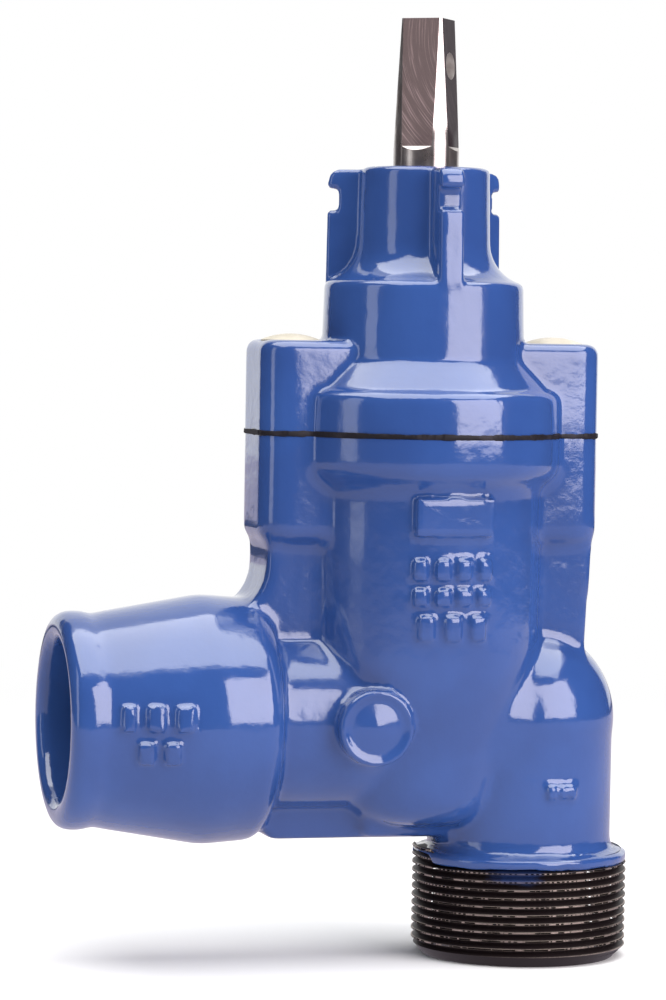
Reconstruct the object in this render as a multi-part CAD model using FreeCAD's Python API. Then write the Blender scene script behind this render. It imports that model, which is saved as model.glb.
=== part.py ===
import FreeCAD, Part
import math
import os

os.makedirs("parts", exist_ok=True)

# Angle service valve in millimetres. The origin is the centre of the outlet thread's lower face,
# +Z runs up along the outlet, and the pipe socket opens towards -X.

# Fits between the pieces
running_gap = 0.06
bond_gap = 0.05
loose_gap = 0.3
overshoot = 1.0

# Outlet with a two inch pipe thread
thread_radius = 29.807
thread_length = 28.0
thread_chamfer = 3.4
flare_edge = 0.8
flare_rounding = 3.2
outlet_bore_radius = 19.0
outlet_bore_length = 40.0

# Waterway from the socket through the elbow
pipe_height = 66.3
waterway_radius = 18.5
pipe_wall = 6.7
elbow_bulge = 0.4

# Stem axis and chamber
stem_offset = 30.5
chamber_radius = 33.6
chamber_wall = 5.2
chamber_well = 30.0
chamber_floor_radius = 22.6
chamber_floor_rounding = 12.0
chamber_floor_rise = 2.0
chamber_bend_height = 80.0
chamber_bend_rounding = 42.0
chamber_draft = 0.6
chamber_widening = 2.4
chamber_widening_height = 8.0
flange_radius = 38.4
flange_height = 144.2
flange_depth = 9.5
flange_rounding = 4.0
gasket_thickness = 1.0
gasket_squeeze = 0.3

# Ears that carry the two bonnet bolts
ear_reach = 48.0
ear_half_width = 15.5
ear_corner = 8.0
ear_edge = 3.5
ear_drop = 29.0
ear_rise = 24.8
bolt_offset = 37.6
bolt_radius = 4.0
bolt_clearance = 0.5
bolt_depth = 21.0
bolt_chamfer = 0.8
bolt_head_radius = 6.5
bolt_head_height = 8.0
bolt_socket_flats = 6.0
bolt_socket_depth = 4.8
bolt_recess_radius = 8.2
bolt_cover = 2.0
melt_dome = 1.7

# Struts under the ears
strut_half_width = 12.0
inlet_strut_reach = 45.7
inlet_strut_bend = 38.0
inlet_strut_rounding = 14.0
inlet_strut_flare = 8.0
inlet_strut_flare_height = 28.0
inlet_strut_foot = 12.0
outlet_strut_top_reach = 47.2
outlet_strut_foot_reach = 45.0
outlet_strut_foot = 14.0
outlet_strut_bend = 20.0

# Pipe socket
pipe_radius = 20.0
socket_mouth = 132.8
socket_back = 75.2
socket_lip_radius = 29.7
socket_lip_length = 7.6
socket_lip_rounding = 4.0
socket_groove_radius = 28.7
socket_groove_place = 9.7
socket_groove_rounding = 3.0
socket_swell = 0.9
socket_swell_place = 14.0
socket_crown_radius = 34.1
socket_crown_place = 40.0
socket_crown_rounding = 16.0
socket_crown_fall = 1.0
socket_shoulder = 4.0
socket_heel_radius = 29.6
mouth_radius = 22.0
mouth_chamfer = 1.5
grip_cone_small = 24.2
grip_cone_large = 28.2
grip_cone_length = 24.0
seal_chamber = 12.0
guide_length = 8.0
guide_inset = 0.8
guide_clearance = 0.3
grip_length = 13.0
grip_teeth = 5
grip_tooth_depth = 1.3
grip_tooth_lean = 0.75
grip_split = 5.0
grip_gap = 0.2
seal_lip = 2.0
seal_groove_depth = 4.0
support_thickness = 3.0

# Keel and bosses cast on the body
keel_drop = 7.5
keel_half_width = 7.0
keel_run_in = 6.0
pad_half_width = 11.0
pad_reach = 48.5
pad_step = 0.6
pad_edge = 2.5
boss_offset = 50.0
boss_radius = 9.0
boss_draft = 0.4
boss_root = 12.0
boss_flare = 2.2
boss_reach = 31.0
boss_dome = 1.6
boss_rounding = 2.0

# Bonnet
bonnet_inset = 0.2
bonnet_draft = 0.3
shoulder_height = 11.1
shoulder_rounding = 3.2
cone_radius = 34.8
cone_rise = 0.6
cone_edge = 1.4
cone_height = 19.8
cone_foot_rounding = 3.5
collar_radius = 27.4
collar_draft = 0.6
collar_height = 40.8
collar_edge = 1.8
neck_radius = 18.2
neck_draft = 0.6
neck_foot = 3.4
neck_foot_rounding = 11.5
neck_height = 72.5
neck_edge = 1.4
neck_chamfer = 1.0
lug_count = 3
lug_radius = 27.2
lug_width = 6.7
lug_notch_low = 11.9
lug_notch_high = 5.9
lug_notch_depth = 3.2
lug_notch_rounding = 0.6
lug_draft = 0.3
lug_edge = 0.8
lug_top_drop = 0.6
lug_top_rounding = 3.2
packing_radius = 14.6
packing_clearance = 0.1
bonnet_dome = 6.5
bonnet_dome_edge = 4.0
bonnet_dome_rounding = 3.5
seat_ledge = 2.4
seat_ledge_clearance = 0.6

# Stem
stem_radius = 9.0
stem_thread_radius = 8.0
stem_chamfer = 1.0
stem_top = 258.4
head_length = 35.0
head_foot = 1.0
head_half_low = 7.93
head_half_high = 5.8
head_corner_high = 7.8
head_turn = 35.7
head_hole_radius = 3.7
head_hole_depth = 12.8
collar_groove = 2.0
collar_kerf = 0.2
thrust_thickness = 5.9
thrust_radius = 14.0
washer_thickness = 1.0
washer_clearance = 0.2
shoulder_seat = 14.5

# Stem bearing and seals
ring_section = 2.4
ring_groove_clearance = 0.2
inner_ring_shares = (0.28, 0.62)
outer_ring_shares = (0.14, 0.8)
bearing_nose_length = 3.0
bearing_nose_depth = 2.0
wiper_length = 10.5
wiper_wall = 1.2
wiper_lip_length = 3.0
wiper_groove = 1.6
wiper_edge = 1.5
manchette_length = 4.5
manchette_wall = 1.4
manchette_foot = 2.0

# Wedge
wedge_half_width = 22.3
wedge_half_low = 13.6
wedge_half_high = 16.2
wedge_rubber_thickness = 2.5
wedge_bore_lining = 0.8
wedge_bore_clearance = 0.6
wedge_top_rounding = 3.0
stem_reach_clearance = 0.7
nut_length = 15.5
nut_cover = 1.0
nut_flange = 6.0
nut_radius = 11.0
nut_flange_radius = 12.6
pocket_clearance = 1.0
guide_start = 14.0
guide_flare = 5.0
guide_rib_half = 3.0
guide_rib_depth = 3.8
shoe_half_length = 6.5
shoe_height = 18.0
shoe_engagement = 2.4

# Places worked out from the sizes above
stem_x = -stem_offset
pipe_outer = waterway_radius + pipe_wall
cavity_radius = chamber_radius - chamber_wall
chamber_bottom = pipe_height - chamber_well
bonnet_base = flange_height + gasket_thickness
ear_top = bonnet_base + ear_rise
neck_top = bonnet_base + neck_height
wedge_bottom = pipe_height - wedge_half_width
guide_low = pipe_height + guide_start
rib_inner = cavity_radius - guide_rib_depth
stem_end = pipe_height + waterway_radius + stem_reach_clearance
wedge_top = stem_end + nut_length + nut_cover
nut_low = stem_end + loose_gap
nut_high = nut_low + nut_length
head_low = stem_top - head_length
head_run_out = stem_radius - head_half_low + loose_gap
packing_seat = bonnet_base + shoulder_seat
ledge_low = packing_seat - seat_ledge
collar_low = packing_seat + washer_thickness
collar_high = collar_low + thrust_thickness + 2 * bond_gap
bearing_low = collar_high + washer_thickness
wiper_low = neck_top - wiper_length
bearing_high = wiper_low - bond_gap
bearing_length = bearing_high - bearing_low
bolt_head_seat = ear_top - bolt_cover - bolt_head_height
guide_front = -(socket_back + guide_inset)
seal_back = guide_front - guide_length
cone_back = seal_back - seal_chamber
cone_front = cone_back - grip_cone_length
grip_back = cone_back - support_thickness - loose_gap


def vector(x, y, z):
    return FreeCAD.Vector(x, y, z)


UP = vector(0, 0, 1)
ALONG_PIPE = vector(1, 0, 0)
ALONG_Y = vector(0, 1, 0)


def rounded_wire(corners, place):
    """A closed wire through corners of (u, v) or (u, v, radius), each rounded by its radius."""
    points = [FreeCAD.Vector(corner[0], corner[1], 0) for corner in corners]
    radii = [corner[2] if len(corner) > 2 else 0.0 for corner in corners]
    rounds = []
    for index, here in enumerate(points):
        back = (points[index - 1] - here).normalize()
        onward = (points[(index + 1) % len(points)] - here).normalize()
        half = back.getAngle(onward) / 2
        reach = radii[index] / math.tan(half) if radii[index] else 0.0
        start = here + back * reach
        stop = here + onward * reach
        middle = here
        if radii[index]:
            middle = here + (back + onward).normalize() * (radii[index] / math.sin(half) - radii[index])
        rounds.append((start, middle, stop))
    edges = []
    for index, (start, middle, stop) in enumerate(rounds):
        if radii[index]:
            arc = Part.Arc(place(start.x, start.y), place(middle.x, middle.y), place(stop.x, stop.y))
            edges.append(arc.toShape())
        following = rounds[(index + 1) % len(rounds)][0]
        if stop.distanceToPoint(following) > 1e-6:
            line = Part.LineSegment(place(stop.x, stop.y), place(following.x, following.y))
            edges.append(line.toShape())
    return Part.Wire(edges)


def turned(corners, axis_x=0.0):
    """A piece turned about a vertical axis from corners of (radius, height, rounding)."""
    wire = rounded_wire(corners, lambda r, z: vector(axis_x + r, 0, z))
    return Part.Face(wire).revolve(vector(axis_x, 0, 0), UP, 360)


def turned_on_pipe(corners):
    """A piece turned about the pipe's axis from corners of (x, radius, rounding)."""
    wire = rounded_wire(corners, lambda x, r: vector(x, 0, pipe_height + r))
    return Part.Face(wire).revolve(vector(0, 0, pipe_height), ALONG_PIPE, 360)


def side_plate(corners, half_width):
    """A plate with an outline in X and Z, half_width thick to each side of the middle plane."""
    wire = rounded_wire(corners, lambda x, z: vector(x, -half_width, z))
    return Part.Face(wire).extrude(vector(0, 2 * half_width, 0))


def cross_plate(corners, x_low, x_high):
    """A plate with an outline in Y and Z, from one X to another."""
    wire = rounded_wire(corners, lambda y, z: vector(x_low, y, z))
    return Part.Face(wire).extrude(vector(x_high - x_low, 0, 0))


def rod(radius, low, high, x=0.0):
    return Part.makeCylinder(radius, high - low, vector(x, 0, low), UP)


def tube(outer, inner, low, high, x=0.0):
    return rod(outer, low, high, x).cut(rod(inner, low, high, x))


def rounded_edges(solid, radius, chosen):
    """The solid with the edges that the test picks rounded."""
    return solid.makeFillet(radius, [edge for edge in solid.Edges if chosen(edge)])


def level_edge(height):
    """A test for edges that lie level at a height."""
    return lambda edge: abs(edge.BoundBox.ZMin - height) < 1e-4 and abs(edge.BoundBox.ZMax - height) < 1e-4


def ear_block(low, high, grow=0.0):
    """The block across the stem axis that both ears are the ends of."""
    reach = ear_reach + grow
    half = ear_half_width + grow
    corners = [(-reach, -half, ear_corner), (reach, -half, ear_corner),
               (reach, half, ear_corner), (-reach, half, ear_corner)]
    wire = rounded_wire(corners, lambda x, y: vector(stem_x + x, y, low))
    return Part.Face(wire).extrude(vector(0, 0, high - low))


def bolt_places():
    return [stem_x - bolt_offset, stem_x + bolt_offset]


def pipe_and_elbow(radius, low, ball_extra):
    """The level pipe, the elbow's ball and the outlet branch, as one run of a given radius."""
    length = socket_back + socket_shoulder
    level = Part.makeCylinder(radius, length, vector(-length, 0, pipe_height), ALONG_PIPE)
    branch = rod(radius, low, pipe_height)
    ball = Part.makeSphere(radius + ball_extra, vector(0, 0, pipe_height))
    return [level, branch, ball]


def outlet_nozzle():
    flare_low = thread_length + flare_edge
    top = thread_length + 2 * flare_rounding
    return turned([(0, 0), (thread_radius - thread_chamfer, 0), (thread_radius, thread_chamfer),
                   (thread_radius, flare_low, flare_edge),
                   (pipe_outer, flare_low + flare_edge, flare_rounding), (pipe_outer, top), (0, top)])


def chamber_shell():
    """The upright chamber: a rounded well, drafted walls and the flange's rim."""
    rim_low = flange_height - flange_depth
    return turned([(0, chamber_bottom),
                   (chamber_floor_radius, chamber_bottom + chamber_floor_rise, chamber_floor_rounding),
                   (chamber_radius - chamber_draft, chamber_bend_height, chamber_bend_rounding),
                   (chamber_radius, rim_low - flange_rounding, flange_rounding),
                   (flange_radius, rim_low, flange_rounding), (flange_radius, flange_height),
                   (0, flange_height)], stem_x)


def ears_of_body():
    block = ear_block(flange_height - ear_drop, flange_height)
    return rounded_edges(block, ear_edge, level_edge(flange_height - ear_drop))


def inlet_strut():
    """The rib from the ear down to the socket, joined to the chamber's wall along its height."""
    inner = stem_x - cavity_radius - chamber_wall / 4
    outer = stem_x - inlet_strut_reach
    top = flange_height - ear_drop + 2 * ear_edge
    corners = [(inner, pipe_height + inlet_strut_foot), (inner, top), (outer, top),
               (outer, pipe_height + inlet_strut_bend, inlet_strut_rounding),
               (outer - inlet_strut_flare, pipe_height + inlet_strut_flare_height),
               (outer - inlet_strut_flare / 2, pipe_height + inlet_strut_foot)]
    return side_plate(corners, strut_half_width)


def outlet_strut():
    """The leaning rib from the other ear down to the elbow."""
    inner = stem_x + cavity_radius + chamber_wall / 4
    top = flange_height - ear_drop + 2 * ear_edge
    foot = stem_x + outlet_strut_foot_reach
    corners = [(inner, pipe_height + outlet_strut_foot), (foot, pipe_height + outlet_strut_foot),
               (foot, pipe_height + outlet_strut_bend), (stem_x + outlet_strut_top_reach, top), (inner, top)]
    return side_plate(corners, strut_half_width)


def cast_boss(side):
    """A round domed boss on the pipe's flank, flared into it at the root."""
    inner = waterway_radius - overshoot
    corners = [(0, inner), (boss_root, inner), (boss_root, pipe_outer - boss_flare),
               (boss_radius, pipe_outer, boss_rounding),
               (boss_radius - boss_draft, boss_reach - boss_dome, boss_rounding), (0, boss_reach)]
    wire = rounded_wire(corners, lambda r, reach: vector(-boss_offset + r, side * reach, pipe_height))
    return Part.Face(wire).revolve(vector(-boss_offset, 0, pipe_height), ALONG_Y, 360)


def keel():
    """The rib under the pipe, with the wider cast pad next to the outlet."""
    low = pipe_height - pipe_outer - keel_drop
    root = pipe_height - pipe_outer + pipe_wall
    start = -socket_back - socket_shoulder
    rib = side_plate([(start, low + keel_drop), (start + keel_run_in, low), (0, low), (0, root),
                      (start, root)], keel_half_width)
    pad_low = low + pad_step
    pad = side_plate([(-pad_reach, pad_low), (0, pad_low), (0, root), (-pad_reach, root)], pad_half_width)
    pad = rounded_edges(pad, pad_edge, lambda edge: edge.BoundBox.XMax < 1e-4 - pad_reach)
    return [rib, pad]


def socket_shell():
    mouth = -socket_mouth
    heel = -socket_back
    return turned_on_pipe([(mouth, 0), (mouth, socket_lip_radius, socket_lip_rounding),
                           (mouth + socket_lip_length, socket_lip_radius, socket_groove_rounding / 2),
                           (mouth + socket_groove_place, socket_groove_radius, socket_groove_rounding),
                           (mouth + socket_swell_place, socket_groove_radius + socket_swell,
                            2 * socket_groove_rounding),
                           (mouth + socket_crown_place, socket_crown_radius, socket_crown_rounding),
                           (heel - socket_shoulder, socket_crown_radius - socket_crown_fall,
                            socket_shoulder),
                           (heel, socket_heel_radius, socket_groove_rounding), (heel, 0)])


def socket_cavity():
    """Mouth, grip cone, seal chamber and the guide bore that stops the pipe."""
    mouth = -socket_mouth
    guide_radius = pipe_radius + guide_clearance
    start = mouth - overshoot
    return turned_on_pipe([(start, 0), (start, mouth_radius + mouth_chamfer + overshoot),
                           (mouth + mouth_chamfer, mouth_radius),
                           (cone_front, mouth_radius), (cone_front, grip_cone_small),
                           (cone_back, grip_cone_large), (seal_back, grip_cone_large),
                           (seal_back, guide_radius), (guide_front, guide_radius), (guide_front, 0)])


def wedge_profile(inset, low, high):
    """The wedge's tapered thickness, drawn in X and Z."""
    slope = (wedge_half_high - wedge_half_low) / (wedge_top - wedge_bottom)
    low_half = wedge_half_low + slope * (low - wedge_bottom) - inset
    high_half = wedge_half_low + slope * (high - wedge_bottom) - inset
    return low_half, high_half


def guide_rib(side):
    """One of the two upright ribs inside the chamber that keep the wedge from turning."""
    depth = guide_rib_depth + chamber_wall / 2
    start = rib_inner if side > 0 else -rib_inner - depth
    corner = vector(stem_x - guide_rib_half, start, guide_low)
    return Part.makeBox(2 * guide_rib_half, depth, flange_height - guide_low, corner)


def chamber_cavity():
    """The space that the wedge slides in: a tapered pocket round the pipe, a wide well above, two ribs."""
    pocket = wedge_half_width + pocket_clearance
    low = pipe_height - pocket
    seat_top = wedge_top + 2 * nut_cover
    wide_low = seat_top + chamber_widening_height
    low_half, high_half = wedge_profile(-loose_gap, low, seat_top)
    upper_half = high_half + chamber_widening
    outside = cavity_radius + overshoot
    along = side_plate([(stem_x - low_half, low), (stem_x - high_half, seat_top),
                        (stem_x - upper_half, wide_low), (stem_x - upper_half, flange_height),
                        (stem_x + upper_half, flange_height), (stem_x + upper_half, wide_low),
                        (stem_x + high_half, seat_top), (stem_x + low_half, low)], outside)
    round_bottom = pocket - running_gap
    across = cross_plate([(-pocket, low, round_bottom), (pocket, low, round_bottom),
                          (pocket, guide_low - guide_flare), (outside, guide_low),
                          (outside, flange_height), (-outside, flange_height),
                          (-outside, guide_low), (-pocket, guide_low - guide_flare)],
                         stem_x - chamber_radius, stem_x + chamber_radius)
    round_limit = rod(cavity_radius, low - overshoot, flange_height, stem_x)
    space = along.common(across).common(round_limit)
    return space.cut([guide_rib(-1), guide_rib(1)])


def bolt_threads():
    bottom = flange_height - bolt_depth - overshoot
    return [rod(bolt_radius + running_gap, bottom, flange_height, place) for place in bolt_places()]


def valve_body():
    outside = pipe_and_elbow(pipe_outer, thread_length, elbow_bulge)
    outside += [outlet_nozzle(), chamber_shell(), ears_of_body(), inlet_strut(), outlet_strut()]
    outside += [cast_boss(-1), cast_boss(1), socket_shell()]
    outside += keel()
    casting = outside[0].fuse(outside[1:])
    waterway = pipe_and_elbow(waterway_radius, 0, elbow_bulge / 2)
    waterway.append(rod(outlet_bore_radius, 0, outlet_bore_length))
    hollows = waterway + [socket_cavity(), chamber_cavity()] + bolt_threads()
    return casting.cut(hollows).removeSplitter()


def bonnet_lug():
    """One bayonet lug of the neck, drawn in radius and height and set along +X of the stem axis."""
    root = (packing_radius + neck_radius) / 2
    foot = bonnet_base + collar_height - overshoot
    notch_low = neck_top - lug_notch_low
    notch_high = neck_top - lug_notch_high
    notch_floor = lug_radius - lug_notch_depth
    top = neck_top - lug_top_drop
    corners = [(root, foot), (lug_radius + lug_draft, foot), (lug_radius, notch_low, lug_notch_rounding),
               (notch_floor, notch_low, lug_notch_rounding), (notch_floor, notch_high, lug_notch_rounding),
               (lug_radius, notch_high, lug_notch_rounding),
               (lug_radius - lug_draft, top, lug_top_rounding), (root, top)]
    wire = rounded_wire(corners, lambda r, z: vector(r, -lug_width / 2, z))
    lug = Part.Face(wire).extrude(vector(0, lug_width, 0))
    outer = notch_floor - lug_edge

    def is_outer(edge):
        return edge.BoundBox.XMin > outer and edge.BoundBox.YLength < 1e-6

    return rounded_edges(lug, lug_edge, is_outer)


def bonnet_lugs():
    lugs = []
    for index in range(lug_count):
        lug = bonnet_lug()
        lug.rotate(vector(0, 0, 0), UP, -90 + index * 360 / lug_count)
        lug.translate(vector(stem_x, 0, 0))
        lugs.append(lug)
    return lugs


def bonnet():
    base = bonnet_base
    shoulder = base + shoulder_height
    rim = flange_radius - bonnet_inset
    collar_top = base + collar_height
    dome = turned([(0, base), (rim, base), (rim - bonnet_draft, shoulder, shoulder_rounding),
                   (cone_radius, shoulder + cone_rise, cone_edge),
                   (collar_radius + collar_draft, base + cone_height, cone_foot_rounding),
                   (collar_radius, collar_top, collar_edge),
                   (neck_radius, collar_top + neck_foot, neck_foot_rounding),
                   (neck_radius - neck_draft, neck_top, neck_edge), (0, neck_top)], stem_x)
    ears = rounded_edges(ear_block(base, ear_top), shoulder_rounding, level_edge(ear_top))
    casting = dome.fuse([ears] + bonnet_lugs())
    ledge_radius = stem_radius + seat_ledge_clearance
    hollow = turned([(0, base), (cavity_radius, base),
                     (cavity_radius, base + bonnet_dome_edge, bonnet_dome_rounding),
                     (packing_radius, base + bonnet_dome), (packing_radius, ledge_low),
                     (ledge_radius, ledge_low), (ledge_radius, packing_seat), (packing_radius, packing_seat),
                     (packing_radius, neck_top - neck_chamfer), (packing_radius + neck_chamfer, neck_top),
                     (0, neck_top)], stem_x)
    holes = []
    for place in bolt_places():
        holes.append(rod(bolt_radius + bolt_clearance, base, ear_top, place))
        holes.append(rod(bolt_recess_radius, bolt_head_seat, ear_top, place))
    return casting.cut([hollow] + holes).removeSplitter()


def bonnet_gasket():
    """The flat gasket, squeezed a little way out all round the flange."""
    disc = rod(flange_radius + gasket_squeeze, flange_height, bonnet_base, stem_x)
    plate = disc.fuse(ear_block(flange_height, bonnet_base, gasket_squeeze)).removeSplitter()
    hole_radius = bolt_radius + bolt_clearance
    holes = [rod(hole_radius, flange_height, bonnet_base, place) for place in bolt_places()]
    return plate.cut([rod(cavity_radius, flange_height, bonnet_base, stem_x)] + holes)


def bonnet_bolts():
    bolts = []
    low = flange_height - bolt_depth
    head_top = bolt_head_seat + bolt_head_height
    floor = head_top - bolt_socket_depth
    across_corners = bolt_socket_flats / math.cos(math.radians(30)) / 2
    for place in bolt_places():
        shank = turned([(0, low), (bolt_radius - bolt_chamfer, low), (bolt_radius, low + bolt_chamfer),
                        (bolt_radius, bolt_head_seat), (bolt_head_radius, bolt_head_seat),
                        (bolt_head_radius, head_top, bolt_chamfer), (0, head_top)], place)
        hexagon = Part.makePolygon([vector(place + across_corners * math.cos(math.radians(60 * step)),
                                           across_corners * math.sin(math.radians(60 * step)), floor)
                                    for step in range(7)])
        bolts.append(shank.cut(Part.Face(hexagon).extrude(vector(0, 0, bolt_socket_depth))))
    return Part.makeCompound(bolts)


def bolt_sealing_plugs():
    """Hot melt poured over the bolt heads, domed above the ears."""
    plug_radius = bolt_recess_radius - bond_gap
    floor = bolt_head_seat + bolt_head_height
    ball_radius = (plug_radius ** 2 + melt_dome ** 2) / (2 * melt_dome)
    plugs = []
    for place in bolt_places():
        pour = rod(plug_radius, floor, ear_top + melt_dome, place)
        ball = Part.makeSphere(ball_radius, vector(place, 0, ear_top + melt_dome - ball_radius))
        plugs.append(pour.common(ball))
    return Part.makeCompound(plugs)


def stem_head():
    """The tapered square: a conical blank cut by four milled flats that run out at the foot."""
    cone_low = head_low + head_foot
    blank = Part.makeCone(stem_radius, head_corner_high, stem_top - cone_low, vector(0, 0, cone_low))
    blank = blank.fuse(rod(stem_radius, head_low - 2 * head_run_out, cone_low))
    sections = [(head_low - head_run_out, head_half_low + head_run_out), (head_low, head_half_low),
                (stem_top, head_half_high)]
    frusta = []
    for (z_low, half_low), (z_high, half_high) in zip(sections, sections[1:]):
        wires = []
        for height, half in ((z_low, half_low), (z_high, half_high)):
            square = [(-half, -half), (half, -half), (half, half), (-half, half)]
            wires.append(rounded_wire(square, lambda x, y, height=height: vector(x, y, height)))
        frusta.append(Part.makeLoft(wires, True, True))
    head = blank.common(frusta[0].fuse(frusta[1]))
    hole = Part.makeCylinder(head_hole_radius, 4 * stem_radius,
                             vector(-2 * stem_radius, 0, stem_top - head_hole_depth), ALONG_PIPE)
    head = head.cut(hole)
    head.rotate(vector(0, 0, 0), UP, -head_turn)
    head.translate(vector(stem_x, 0, 0))
    return head


def stem():
    groove = stem_radius - collar_groove
    shaft_top = head_low - head_run_out
    shaft = turned([(0, stem_end), (stem_thread_radius - stem_chamfer, stem_end),
                    (stem_thread_radius, stem_end + stem_chamfer), (stem_thread_radius, collar_low),
                    (groove, collar_low), (groove, collar_high), (stem_radius, collar_high),
                    (stem_radius, shaft_top), (0, shaft_top)], stem_x)
    return shaft.fuse(stem_head()).removeSplitter()


def thrust_collar():
    """A brass collar in two halves, closed round the stem's groove."""
    low = collar_low + bond_gap
    ring = tube(thrust_radius, stem_radius - collar_groove + bond_gap, low, low + thrust_thickness, stem_x)
    reach = thrust_radius + overshoot
    cut = Part.makeBox(2 * reach, collar_kerf, thrust_thickness + 2 * overshoot,
                       vector(stem_x - reach, -collar_kerf / 2, low - overshoot))
    return Part.makeCompound(ring.cut(cut).Solids)


def thrust_washers():
    outer = packing_radius - washer_clearance
    inner = stem_radius + washer_clearance
    lower = tube(outer, inner, packing_seat, packing_seat + washer_thickness, stem_x)
    upper = tube(outer, inner, collar_high, collar_high + washer_thickness, stem_x)
    return Part.makeCompound([lower, upper])


def inner_ring_places():
    return [bearing_low + bearing_length * share for share in inner_ring_shares]


def outer_ring_places():
    return [bearing_low + bearing_length * share for share in outer_ring_shares]


def stem_bearing():
    """The polyamide bush that is screwed into the neck, grooved inside and outside for its seals."""
    bore = stem_radius + running_gap
    outer = packing_radius - packing_clearance
    bush = turned([(bore, bearing_low), (outer, bearing_low), (outer, bearing_high - bearing_nose_length),
                   (packing_radius - bearing_nose_depth, bearing_high), (bore, bearing_high)], stem_x)
    half = ring_section / 2 + loose_gap
    deep = stem_radius + ring_section + ring_groove_clearance
    shallow = packing_radius - ring_section - packing_clearance
    for height in inner_ring_places():
        bush = bush.cut(tube(deep, stem_radius - overshoot, height - half, height + half, stem_x))
    for height in outer_ring_places():
        bush = bush.cut(tube(packing_radius + overshoot, shallow, height - half, height + half, stem_x))
    return bush


def seal_ring(middle_radius, height):
    return Part.makeTorus(middle_radius, ring_section / 2, vector(stem_x, 0, height), UP)


def stem_o_rings():
    middle = stem_radius + packing_clearance + ring_section / 2
    return Part.makeCompound([seal_ring(middle, height) for height in inner_ring_places()])


def bearing_o_rings():
    middle = packing_radius - bond_gap - ring_section / 2
    return Part.makeCompound([seal_ring(middle, height) for height in outer_ring_places()])


def wiper_ring():
    """The rubber ring that closes the neck, with a lip that leans on the stem."""
    high = neck_top
    outer = packing_radius - packing_clearance
    lip = stem_radius + packing_clearance
    back = stem_radius + wiper_wall
    return turned([(back, wiper_low), (outer, wiper_low), (outer, high - wiper_edge),
                   (outer - wiper_edge, high - wiper_edge / 2),
                   (back + wiper_wall, high - wiper_groove, wiper_groove / 2),
                   (back, high), (lip, high), (lip, high - wiper_lip_length)], stem_x)


def manchette():
    """The rubber sleeve under the thrust shoulder that keeps the medium from the bearing."""
    low = ledge_low - manchette_length
    lip = stem_thread_radius + packing_clearance
    waist = low + manchette_foot
    return turned([(lip, low), (lip + manchette_wall, low), (lip + 2 * manchette_wall, waist),
                   (packing_radius - manchette_wall, waist),
                   (packing_radius - manchette_wall / 2, ledge_low), (lip + manchette_wall, ledge_low),
                   (lip, low + manchette_wall)], stem_x)


def wedge_form(inset):
    """The wedge's outer form, or the same form drawn in by an inset."""
    low = wedge_bottom + inset
    high = wedge_top - inset
    low_half, high_half = wedge_profile(inset, low, high)
    along = side_plate([(stem_x - low_half, low), (stem_x - high_half, high), (stem_x + high_half, high),
                        (stem_x + low_half, low)], wedge_half_width + overshoot)
    half = wedge_half_width - inset
    reach = wedge_half_high + overshoot
    across = cross_plate([(-half, low, half - bond_gap), (half, low, half - bond_gap),
                          (half, high, wedge_top_rounding), (-half, high, wedge_top_rounding)],
                         stem_x - reach, stem_x + reach)
    return along.common(across)


def nut_form(grow, high):
    """The brass nut's outline, a round body on a flange, grown by a gap for its pocket."""
    low = nut_low - grow
    flange_top = nut_low + nut_flange + grow
    return turned([(0, low), (nut_flange_radius + grow, low), (nut_flange_radius + grow, flange_top),
                   (nut_radius + grow, flange_top), (nut_radius + grow, high), (0, high)], stem_x)


def wedge_core():
    bore_radius = stem_thread_radius + wedge_bore_clearance + wedge_bore_lining + bond_gap
    bore = rod(bore_radius, wedge_bottom, wedge_top, stem_x)
    pocket = nut_form(bond_gap, wedge_top)
    return wedge_form(wedge_rubber_thickness + bond_gap).cut([bore, pocket])


def wedge_rubber():
    """The rubber skin vulcanised all over the core, which also lines the stem's bore."""
    skin = wedge_form(0).cut(wedge_form(wedge_rubber_thickness))
    bore_radius = stem_thread_radius + wedge_bore_clearance
    lining_top = nut_low - 2 * bond_gap
    lining = tube(bore_radius + wedge_bore_lining, bore_radius, wedge_bottom + overshoot, lining_top, stem_x)
    bore = rod(bore_radius, wedge_bottom - overshoot, lining_top, stem_x)
    window = rod(nut_radius + bond_gap, wedge_top - wedge_rubber_thickness - bond_gap, wedge_top, stem_x)
    return skin.fuse(lining).cut([bore, window])


def wedge_nut():
    return nut_form(0, nut_high).cut(rod(stem_thread_radius + running_gap, stem_end, nut_high, stem_x))


def wedge_guide_shoes():
    """Two plastic shoes on the wedge's flanks that straddle the ribs of the body."""
    inner = wedge_half_width + bond_gap
    outer = rib_inner + shoe_engagement
    slot_start = rib_inner - loose_gap
    slot_half = guide_rib_half + loose_gap
    low = guide_low + loose_gap
    shoes = []
    for side in (-1, 1):
        wall = inner if side > 0 else -outer
        slot = slot_start if side > 0 else -outer
        block = Part.makeBox(2 * shoe_half_length, outer - inner, shoe_height,
                             vector(stem_x - shoe_half_length, wall, low))
        groove = Part.makeBox(2 * slot_half, outer - slot_start, shoe_height,
                              vector(stem_x - slot_half, slot, low))
        shoes.append(block.cut(groove))
    return Part.makeCompound(shoes)


def cone_radius_at(x):
    share = (x - cone_front) / (cone_back - cone_front)
    return grip_cone_small + share * (grip_cone_large - grip_cone_small)


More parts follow.
